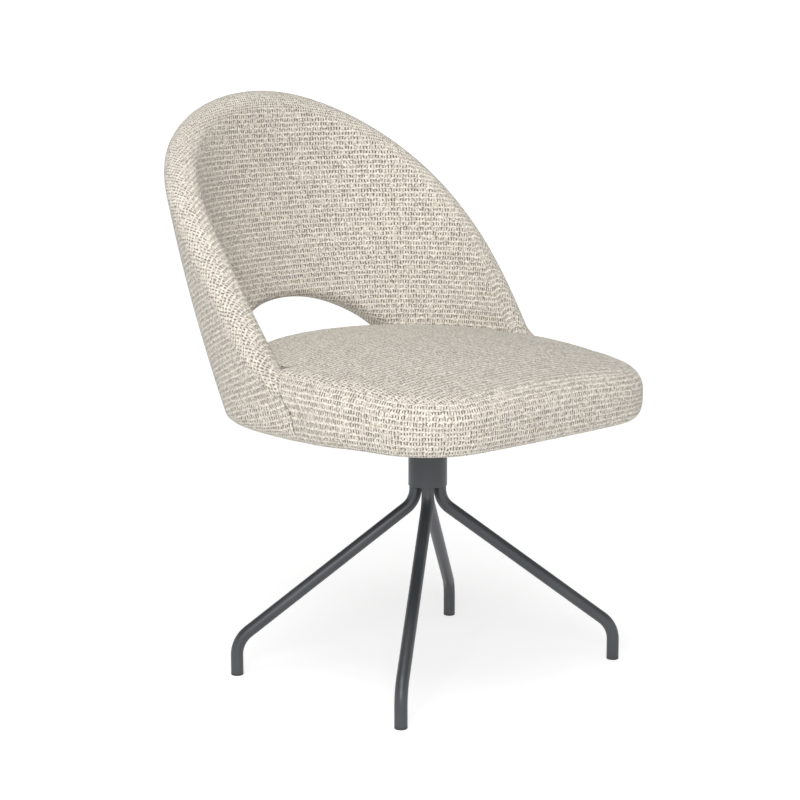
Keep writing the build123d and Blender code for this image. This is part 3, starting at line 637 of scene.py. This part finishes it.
# The tub is one closed ring-shaped surface. Its columns go round the wall's outline: along
# the rim from the right arm to the left, down the left arm's end, back along the foot and up
# the right end. Each column's line goes over the edge from the outer skin to the inner one,
# down the inner skin to the opening, through it, and up the outer skin.
def makeTub(s=tubSettings):
    half = s["halfWall"]
    low = s["underside"] + half
    endAngle = np.arctan2(s["endY"] - s["centreY"], s["sideReach"])
    samples = 2000
    rimAngles = np.linspace(endAngle, np.pi - endAngle, samples)
    rimPath = np.stack([rimAngles * s["meanRadius"], rimHeight(rimAngles)], -1)
    rimLength = np.hypot(*np.diff(rimPath, axis=0).T).sum()
    footLength = (np.pi - 2 * endAngle) * s["meanRadius"]
    topCount = int(rimLength / s["outlineStep"])
    bottomCount = int(footLength / s["outlineStep"])
    sideCount = s["endColumns"]
    endRim = rimHeight(np.array([endAngle]))[0]

    rim = resample(rimPath, topCount + 1)[:-1]
    rim[:, 0] /= s["meanRadius"]
    drop = np.linspace(0, 1, sideCount + 1)[:-1]
    leftAngle, rightAngle = np.pi - endAngle, endAngle
    leftEnd = np.stack([np.full(sideCount, leftAngle), endRim + (low - endRim) * drop], -1)
    footAngles = np.linspace(leftAngle, rightAngle, bottomCount + 1)[:-1]
    foot = np.stack([footAngles, np.full(bottomCount, low)], -1)
    rightEnd = np.stack([np.full(sideCount, rightAngle), low + (endRim - low) * drop], -1)
    outline = np.vstack([rim, leftEnd, foot, rightEnd])
    upSign = np.concatenate([np.ones(topCount), 1 - 2 * drop, -np.ones(bottomCount), 2 * drop - 1])
    isEnd = np.repeat([0.0, 1.0, 0.0, 1.0], [topCount, sideCount, bottomCount, sideCount])
    angle, height = outline.T

    # over the edge: half a circle at the rim and the foot, a nearly flat face at the ends
    turns = np.linspace(0, np.pi, s["edgeRows"], endpoint=False)[:, None]
    out = half * np.cos(turns)
    up = half * np.sin(turns) * upSign
    edge = wallPlace(angle + 0 * turns, height + 0 * turns, out + 0 * up, up)
    power = s["endRoundness"]
    face = np.sqrt((1 - np.abs(np.cos(turns)) ** power) * (1 - np.abs(upSign) ** power)) * isEnd
    edge[..., 1] -= s["endBulge"] * face

    # the opening's edge on both skins, and the tunnel between them
    path, outward = openingOutline(topCount, sideCount, bottomCount)
    grown = path + outward * s["openingEdge"]
    innerAngle, innerHeight = skinUnder(grown[:, 0], grown[:, 1], -half)
    outerAngle, outerHeight = skinUnder(grown[:, 0], grown[:, 1], half)
    innerCorner = wallPlace(*skinUnder(path[:, 0], path[:, 1], -half), -half, 0)
    outerCorner = wallPlace(*skinUnder(path[:, 0], path[:, 1], half), half, 0)
    innerStart = wallPlace(innerAngle, innerHeight, -half, 0)
    outerStart = wallPlace(outerAngle, outerHeight, half, 0)
    depth = np.array([0, s["openingEdge"], 0])
    quarter = np.linspace(0, np.pi / 2, s["bendRows"])[:, None, None]
    aside, inside = 1 - np.sin(quarter), 1 - np.cos(quarter)
    innerBend = innerCorner + (innerStart - innerCorner) * aside + depth * inside
    outerBend = outerCorner + (outerStart - outerCorner) * aside - depth * inside
    share = np.linspace(0, 1, s["tunnelRows"])[1:-1, None, None]
    tunnel = innerBend[-1] + (outerBend[-1] - innerBend[-1]) * share

    reach = np.linspace(0, 1, s["skinRows"])[:, None]
    innerSkin = wallPlace(angle + (innerAngle - angle) * reach,
                          height + (innerHeight - height) * reach, -half, 0)
    outerSkin = wallPlace(outerAngle + (angle - outerAngle) * reach,
                          outerHeight + (height - outerHeight) * reach, half, 0)
    places = np.concatenate([edge, innerSkin[:-1], innerBend, tunnel, outerBend[::-1],
                             outerSkin[1:-1]])

    # rows of the weave: level on the inside, dropping towards the rear on the outside, and
    # crossing the rim from one to the other
    rows, columns = places.shape[:2]
    flat = np.arctan2(places[..., 1] - s["centreY"], places[..., 0])
    flat = np.where(flat < -np.pi / 2, flat + 2 * np.pi, flat)
    fromRear = np.abs(flat - np.pi / 2)
    tilt = s["rowTilt"] * (s["tiltReach"] - np.hypot(fromRear, s["tiltSoftness"])) + s["tiltBase"]
    level = s["weaveRise"] * places[..., 2]
    rimSlope = s["rimSlope"] * np.sin(fromRear)
    overRim = np.sign(flat - np.pi / 2) * rimSlope / np.hypot(rimSlope, 1) * np.pi * half
    around = (flat - np.pi / 2) * s["weaveRadius"]
    edgeShare = np.zeros((rows, 1))
    edgeShare[:s["edgeRows"]] = 1 - turns / np.pi
    ends = level[s["edgeRows"]] + (level[0] - level[s["edgeRows"]]) * edgeShare
    bulge = half * np.minimum(turns, np.pi - turns)
    isFoot = upSign < -0.5
    edgeRise = np.zeros((rows, columns))
    edgeRise[:s["edgeRows"]] = np.where(isFoot, -bulge, 0)
    insideV = np.where(edgeShare > 0, ends + edgeRise, level) + tilt * edgeShare
    passRows = slice(s["edgeRows"] + s["skinRows"] - 1, rows - s["skinRows"] + 2)
    passed = places[passRows]
    steps = np.linalg.norm(np.diff(passed, axis=0), axis=-1)
    travelled = np.vstack([np.zeros(columns), np.cumsum(steps, 0)])
    insideU = around + np.where(isFoot, 0, overRim) * edgeShare
    insideU[passRows] = around[passRows][0] + travelled * outward[:, 0]
    insideV[passRows] = level[passRows][0] - travelled * outward[:, 1]
    insideUv = np.stack([insideU, insideV], -1).reshape(-1, 2)
    outsideUv = np.stack([around + overRim, level + tilt], -1)
    outsideUv[0] = np.stack([around[0] + overRim[0], insideV[0]], -1)
    outsideUv = outsideUv.reshape(-1, 2)
    firstOutside = rows - s["skinRows"] + 1

    def uvOf(cornerVertices, cornerFaces, vertices):
        outside = (cornerFaces // columns >= firstOutside)[:, None]
        return np.where(outside, outsideUv[cornerVertices], insideUv[cornerVertices])

    return makeGridPiece("backUpholstery", slantSeam(places), None, uvOf, tweed)


# ---- seat cushion
seatSettings = {
    "frontHalf": 0.242, "frontReach": 0.252, "frontBow": 0.009, "cornerRadius": 0.114,
    "widestHeight": 0.402, "drawIn": 4.0, "tuck": 0.004, "underside": 0.370,
    "crown": 0.482, "crownRadius": 1.8, "crownY": 0.090,
    "topEdge": 0.036, "bottomEdge": 0.022, "gap": 0.0006,
    # in front of the seam the side swings out to the arm's outer face, up to a height
    "seamAngle": -3.0, "swingStart": -0.13, "swingTop": 0.4528,
    # behind it the side runs inside the tub, and swells a little in the opening
    "rearStart": -0.031, "rearEdge": 0.005, "rearEdgeEnd": 0.75, "wallSlope": 0.2,
    "openingFade": 0.004, "openingHalf": (0.158, 0.15), "openingSwell": 0.02,
    # the step at the seam: columns along it, how far each lies behind the front, and the
    # rows below the top where they start and end spreading out evenly
    "stepShares": [0.010, 0.035, 0.08, 0.2, 0.4, 0.6, 0.8, 0.97],
    "stepDepths": [0.0003, 0.0005, 0.0006, 0.0006, 0.0006, 0.0006, 0.0006, 0.0008],
    "stepEvenRows": (4, 1),
    "poleY": -0.01, "columnStep": 0.0046, "arcSteps": 60, "rearColumns": 76,
    "topRows": 44, "edgeRows": 11, "sideRows": 7, "lowEdgeRows": 7, "lowRows": 14,
    "bandEdgeRows": 6,           # rows of the top edge that have the band's weave
}


def crownHeight(x, y, s=seatSettings):
    return s["crown"] - (x * x + (y - s["crownY"]) ** 2) / (2 * s["crownRadius"])


# Right half of the cushion's outline from above, from the middle of the front to the seam:
# a long arc, a corner arc that touches both its neighbours, and the straight side.
def frontOutline(s=seatSettings):
    bow, reach = s["frontBow"], s["frontReach"]
    halfWidth, radius, steps = s["frontHalf"], s["cornerRadius"], s["arcSteps"]
    bigRadius = (halfWidth ** 2 + bow ** 2) / (2 * bow)
    bigCentre = np.array([0.0, bigRadius - reach])
    corner = np.array([halfWidth, bow - reach])
    seamAngle = radians(s["seamAngle"])
    rimRadius = wallRadius(np.array([seamAngle]), s["widestHeight"])[0] + tubSettings["halfWall"]
    sideEnd = rimRadius * np.array([np.cos(seamAngle), np.sin(seamAngle)])
    sideEnd[1] += tubSettings["centreY"]
    along = (sideEnd - corner) / np.linalg.norm(sideEnd - corner)
    inward = np.array([-along[1], along[0]])
    start = corner + inward * radius - bigCentre
    b = start @ along
    c = start @ start - (bigRadius - radius) ** 2
    centre = corner + inward * radius + along * (-b - np.sqrt(b * b - c))
    sideTouch = centre - inward * radius
    frontTouch = bigCentre + (centre - bigCentre) * bigRadius / (bigRadius - radius)
    frontTurn = np.arctan2(frontTouch[0], bigCentre[1] - frontTouch[1])
    turns = np.linspace(0, frontTurn, steps)
    front = bigCentre + bigRadius * np.stack([np.sin(turns), -np.cos(turns)], -1)
    first = np.arctan2(*(frontTouch - centre)[::-1])
    last = np.arctan2(*(sideTouch - centre)[::-1])
    turns = np.linspace(first, last, steps)
    bend = centre + radius * np.stack([np.cos(turns), np.sin(turns)], -1)
    stop = sideTouch + along * (seamSettings["plane"] - s["gap"] - sideTouch[1]) / along[1]
    side = sideTouch + (stop - sideTouch) * np.linspace(0, 1, steps)[:, None]
    return np.vstack([front[:-1], bend[:-1], side])


# The normals to the right of a line that starts along +X.
def rightNormals(line):
    tangent = np.gradient(line, axis=0)
    tangent /= np.linalg.norm(tangent, axis=1, keepdims=True)
    tangent[0] = (1, 0)
    return np.stack([tangent[:, 1], -tangent[:, 0]], -1)


# The arm's outer face at the seam: for a height, its distance from the chair's middle.
def seamProfile(height, s=tubSettings):
    half, steps = s["halfWall"], 20
    low = s["underside"] + half
    angle = np.arctan2(seamSettings["plane"] - s["centreY"], s["sideReach"])
    turns = np.linspace(0, np.pi / 2, steps)
    out, up = half * np.cos(turns), half * np.sin(turns)
    footPart = wallPlace(angle + 0 * turns, low + 0 * turns, out, -up)
    rimPart = wallPlace(angle + 0 * turns, rimHeight(angle) + 0 * turns, out, up)
    path = np.vstack([footPart[::-1], rimPart])
    return np.interp(height, path[:, 2], path[:, 0])


def makeSeat(s=seatSettings):
    front = frontOutline()
    length = np.hypot(*np.diff(front, axis=0).T).sum()
    frontCount = int(length / s["columnStep"])
    front = resample(front, frontCount)
    normal = rightNormals(front)

    # rows of the side: bottom edge, side, top edge, as an inset and a height for a column
    lowTurn = np.linspace(0, np.pi / 2, s["lowEdgeRows"])
    topTurn = np.linspace(0, np.pi / 2, s["edgeRows"])
    draw = np.tan(radians(s["drawIn"]))

    def sideRows(topEdge, ringHeight):
        startHeight = ringHeight - topEdge
        lowTop = s["underside"] + s["bottomEdge"]
        lowHeight = lowTop - s["bottomEdge"] * np.cos(lowTurn)
        lowInset = s["bottomEdge"] * (1 - np.sin(lowTurn))
        middle = np.linspace(0, 1, s["sideRows"] + 2)[1:-1]
        middleHeight = lowTop + (startHeight - lowTop) * middle[:, None]
        topHeight = startHeight + topEdge * np.sin(topTurn)[:, None]
        topInset = topEdge * (1 - np.cos(topTurn))[:, None]
        columns = startHeight.shape[0]
        heights = np.vstack([np.repeat(lowHeight[:, None], columns, 1), middleHeight, topHeight])
        insets = np.vstack([np.repeat(lowInset[:, None], columns, 1), 0 * middleHeight, topInset])
        return heights, insets + draw * np.maximum(s["widestHeight"] - heights, 0)

    # in front of the seam
    topEdge = np.full(frontCount, s["topEdge"])
    ring = front - normal * topEdge[:, None]
    heights, insets = sideRows(topEdge, crownHeight(ring[:, 0], ring[:, 1]))
    frontPlaces = front - normal * insets[..., None]
    near = smoothStep(s["swingStart"], seamSettings["plane"], front[:, 1])
    keep = 1 - smoothStep(s["swingTop"], heights[-1], heights)
    wanted = seamProfile(heights) - (front[:, 0] - insets)
    frontPlaces = frontPlaces + normal * (wanted * near * keep)[..., None]
    frontPlaces = np.concatenate([frontPlaces, heights[..., None]], -1)

    # behind the seam, inside the tub
    tub = tubSettings
    angles = np.linspace(s["rearStart"], np.pi / 2, s["rearColumns"])
    low = tub["underside"] + tub["halfWall"]
    base = wallRadius(angles, low + 0 * angles) - s["tuck"]
    rearEdge = smoothStep(0.0, s["rearEdgeEnd"], angles)
    rearEdge = s["rearEdge"] + (s["topEdge"] - s["rearEdge"]) * rearEdge
    radius = base - rearEdge
    x, y = radius * np.cos(angles), tub["centreY"] + radius * np.sin(angles)
    heights, insets = sideRows(rearEdge, crownHeight(x, y))
    inner = wallPlace(angles + 0 * heights, heights, -tub["halfWall"] + 0 * heights, 0)
    innerRadius = np.hypot(inner[..., 0], inner[..., 1] - tub["centreY"])
    innerRadius = innerRadius + (heights - inner[..., 2]) * s["wallSlope"] - s["gap"]
    bottom, fade = tub["openingBottom"], s["openingFade"]
    inOpening = smoothStep(bottom - fade, bottom + fade, heights)
    inOpening = inOpening * smoothStep(*s["openingHalf"], np.abs(base * np.cos(angles)))
    radius = np.minimum(base - insets, innerRadius + inOpening * s["openingSwell"])
    rearPlaces = np.stack([radius * np.cos(angles), tub["centreY"] + radius * np.sin(angles),
                           heights], -1)

    # the step at the seam, hidden by the arm's end
    sideCount = frontPlaces.shape[0]
    shares = np.array(s["stepShares"])[None, :, None]
    first, last = frontPlaces[:, -1:], rearPlaces[:, :1]
    stepPlaces = first + (last - first) * shares
    stepPlaces[..., 1] = first[..., 1] + s["stepDepths"]
    evenShares = np.linspace(0, 1, shares.size + 2)[None, 1:-1, None]
    start, end = s["stepEvenRows"]
    opened = smoothStep(sideCount - start, sideCount - end, np.arange(sideCount))
    even = first + (last - first) * evenShares
    stepPlaces += (even - stepPlaces) * opened[:, None, None]
    right = np.concatenate([frontPlaces, stepPlaces, rearPlaces], 1)
    left = right[:, -2:0:-1] * [-1, 1, 1]
    side = np.concatenate([right, left], 1)
    columns = side.shape[1]

    # the top closes in a pole along the crown, the flat underside in another
    centre = np.array([0.0, s["poleY"]])
    ring = side[-1]
    share = 1 - (np.arange(1, s["topRows"] + 1) / (s["topRows"] + 1))[:, None]
    topX = centre[0] + (ring[:, 0] - centre[0]) * share
    topY = centre[1] + (ring[:, 1] - centre[1]) * share
    top = np.stack([topX, topY, crownHeight(topX, topY)], -1)
    foot = side[0]
    share = (np.arange(1, s["lowRows"] + 1) / (s["lowRows"] + 1))[:, None]
    lowX = centre[0] + (foot[:, 0] - centre[0]) * share
    lowY = centre[1] + (foot[:, 1] - centre[1]) * share
    bottom = np.stack([lowX, lowY, np.full_like(lowX, s["underside"])], -1)
    places = np.concatenate([bottom, side, top])
    places = slantSeam(places)
    poles = [(*centre, s["underside"]), (*centre, crownHeight(*centre))]

    # the band's rows go round the cushion, the top's rows go across it
    rows = places.shape[0]
    firstTop = s["lowRows"] + s["lowEdgeRows"] + s["sideRows"] + s["bandEdgeRows"]
    around = np.zeros(columns)
    outline = side[s["lowEdgeRows"] + 2]
    outline = np.vstack([outline, outline[:1]])
    steps = np.hypot(*np.diff(outline[:, :2], axis=0).T)
    around[1:] = np.cumsum(steps)[:-1]
    total = steps.sum()
    around = np.where(np.arange(columns) > columns // 2, around - total, around)
    rise = np.zeros((rows, columns))
    profile = np.linalg.norm(np.diff(places[s["lowRows"]:, 0], axis=0), axis=-1)
    rise[s["lowRows"] + 1:] = np.cumsum(profile)[:, None]
    ringRow = s["lowRows"] + side.shape[0] - 1
    bandUv = np.stack([around + 0 * rise, rise], -1).reshape(-1, 2)
    topV = places[..., 1] - places[ringRow, 0, 1] + rise[ringRow, 0]
    topUv = np.stack([places[..., 0], topV], -1)
    topUv = np.vstack([topUv.reshape(-1, 2), [[0, 0.5], [0, topV[-1].mean()]]])
    bandUv = np.vstack([bandUv, [[0, 0], [0, 0]]])

    def uvOf(cornerVertices, cornerFaces, vertices):
        row = cornerFaces // columns
        onTop = ((row >= firstTop) | (row < s["lowRows"]))[:, None]
        return np.where(onTop, topUv[cornerVertices], bandUv[cornerVertices])

    return makeGridPiece("seatUpholstery", places, poles, uvOf, tweed)


# ---- padding: a coarse copy of each form is blown up as cloth, and the form follows it
paddingSettings = {
    "voxel": 0.006, "pressure": 4.0, "frames": 20,
    "shrink": 0.0015,            # the copy starts this much smaller
    "cap": 0.0025,               # the furthest that a point of it may move
    "seamFade": 0.03,
    "sideStart": 0.15, "sideFull": 0.19,    # the seam holds the cover at the sides only
    "footStart": 0.375, "footFull": 0.385,  # the foot stays where it is stapled
}


def vertexValues(mesh, kind):
    values = np.empty(len(mesh.vertices) * 3)
    mesh.vertices.foreach_get(kind, values)
    return values.reshape(-1, 3)


def evaluatedMesh(piece):
    graph = bpy.context.evaluated_depsgraph_get()
    return bpy.data.meshes.new_from_object(piece.evaluated_get(graph), depsgraph=graph)


def puffUp(piece, s=paddingSettings):
    cage = bpy.data.objects.new("cage", piece.data.copy())
    scene.collection.objects.link(cage)
    remesh = cage.modifiers.new("remesh", "REMESH")
    remesh.mode = "VOXEL"
    remesh.voxel_size = s["voxel"]
    cage.modifiers.new("triangles", "TRIANGULATE")
    coarse = evaluatedMesh(cage)
    cage.modifiers.clear()
    cage.data = coarse
    rest = vertexValues(coarse, "co")
    outwards = vertexValues(coarse, "normal")
    start = rest - outwards * s["shrink"]

    follow = piece.modifiers.new("follow", "SURFACE_DEFORM")
    follow.target = cage
    with bpy.context.temp_override(object=piece, active_object=piece):
        bpy.ops.object.surfacedeform_bind(modifier="follow")

    coarse.vertices.foreach_set("co", start.ravel())
    coarse.update()
    cloth = cage.modifiers.new("cloth", "CLOTH")
    cloth.settings.use_pressure = True
    cloth.settings.uniform_pressure_force = s["pressure"]
    cloth.settings.effector_weights.gravity = 0.0
    for number in range(1, s["frames"] + 1):
        scene.frame_set(number)
    moved = vertexValues(evaluatedMesh(cage), "co") - start
    cage.modifiers.clear()
    scene.frame_set(1)

    # the foam stops the cloth from going in, the cap from going out, and the seam holds it
    shrink = s["shrink"]
    rise = np.clip((moved * outwards).sum(1, keepdims=True), shrink, s["cap"]) - shrink
    side = smoothStep(s["sideStart"], s["sideFull"], np.abs(rest[:, :1]))
    fromSeam = np.abs(rest[:, 1:2] - seamSettings["plane"])
    atSeam = 1 - smoothStep(0.0, s["seamFade"], fromSeam)
    aboveFoot = smoothStep(s["footStart"], s["footFull"], rest[:, 2:])
    rise = (rise - shrink / 3) * (1 - atSeam * side) * aboveFoot
    coarse.vertices.foreach_set("co", (rest + outwards * rise).ravel())
    coarse.update()
    bound = follow.is_bound
    puffed = evaluatedMesh(piece)
    piece.modifiers.clear()
    piece.data = puffed
    bpy.data.objects.remove(cage)
    print("padded:", piece.name, "bound", bound)
    print("rise in mm:", rise.min() * 1000, "to", rise.max() * 1000)


# ---- dust cover: a thin cloth stapled flat under the seat, with a square hole for the plate
dustSettings = {
    "margin": 0.028, "thickness": 0.0008, "holeHalf": 0.091, "top": 0.370,
    "columns": 260, "rows": 9, "ripple": 0.0003, "ripplePitch": 0.045, "rippleFade": 3,
    "frontEnd": 0.02, "rearStart": -0.03, "rearSteps": 60,
}


def makeDustCover(s=dustSettings):
    front = frontOutline()
    front = front - rightNormals(front) * s["margin"]
    front = front[front[:, 1] < s["frontEnd"]]
    angles = np.linspace(s["rearStart"], np.pi / 2, s["rearSteps"])
    low = tubSettings["underside"] + tubSettings["halfWall"]
    radius = wallRadius(angles, low) + tubSettings["halfWall"] - s["margin"]
    rear = [radius * np.cos(angles), tubSettings["centreY"] + radius * np.sin(angles)]
    rear = np.stack(rear, -1)
    right = np.vstack([front, rear])
    loop = np.vstack([right, right[-2::-1] * [-1, 1]])
    steps = np.hypot(*np.diff(loop, axis=0).T)
    outline = resample(loop, s["columns"] + 1)[:-1]
    around = np.linspace(0, steps.sum(), s["columns"], endpoint=False)
    hole = outline * s["holeHalf"] / np.abs(outline).max(1, keepdims=True)
    share = np.linspace(0, 1, s["rows"])[:, None, None]
    flat = outline + (hole - outline) * share
    ripple = s["ripple"] * (1 - np.cos(around * 2 * np.pi / s["ripplePitch"])) / 2
    ripple = ripple * (1 - share[..., 0]) ** s["rippleFade"]
    under = np.concatenate([flat, (s["top"] - s["thickness"] - ripple)[..., None]], -1)
    over = np.concatenate([flat, (s["top"] - ripple)[..., None]], -1)
    places = np.concatenate([over, under[::-1]])

    def uvOf(cornerVertices, cornerFaces, vertices):
        return vertices[cornerVertices, :2]

    following = np.roll(outline, -1, 0)
    area = abs((outline[:, 0] * following[:, 1] - outline[:, 1] * following[:, 0]).sum()) / 2
    sheet = makeGridPiece("dustSheet", places, None, uvOf, dustCloth)
    return sheet, np.ptp(outline, axis=0), area - 4 * s["holeHalf"] ** 2


backUpholstery = makeTub()
print("back made:", len(backUpholstery.data.polygons), "faces")
seatUpholstery = makeSeat()
print("seat made:", len(seatUpholstery.data.polygons), "faces")
for piece, hidden in ((backUpholstery, ("back_cover", "back_foam")),
                      (seatUpholstery, ("seat_cover", "seat_foam"))):
    puffUp(piece)
    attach(piece, "seat")
    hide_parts(*hidden)

dustSheet, dustSize, dustArea = makeDustCover()
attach(dustSheet, "seat")
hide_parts("dust_cover")
tuple(round(float(side), 4) for side in dustSize)
print("dust cover made:", dustSize, dustArea)
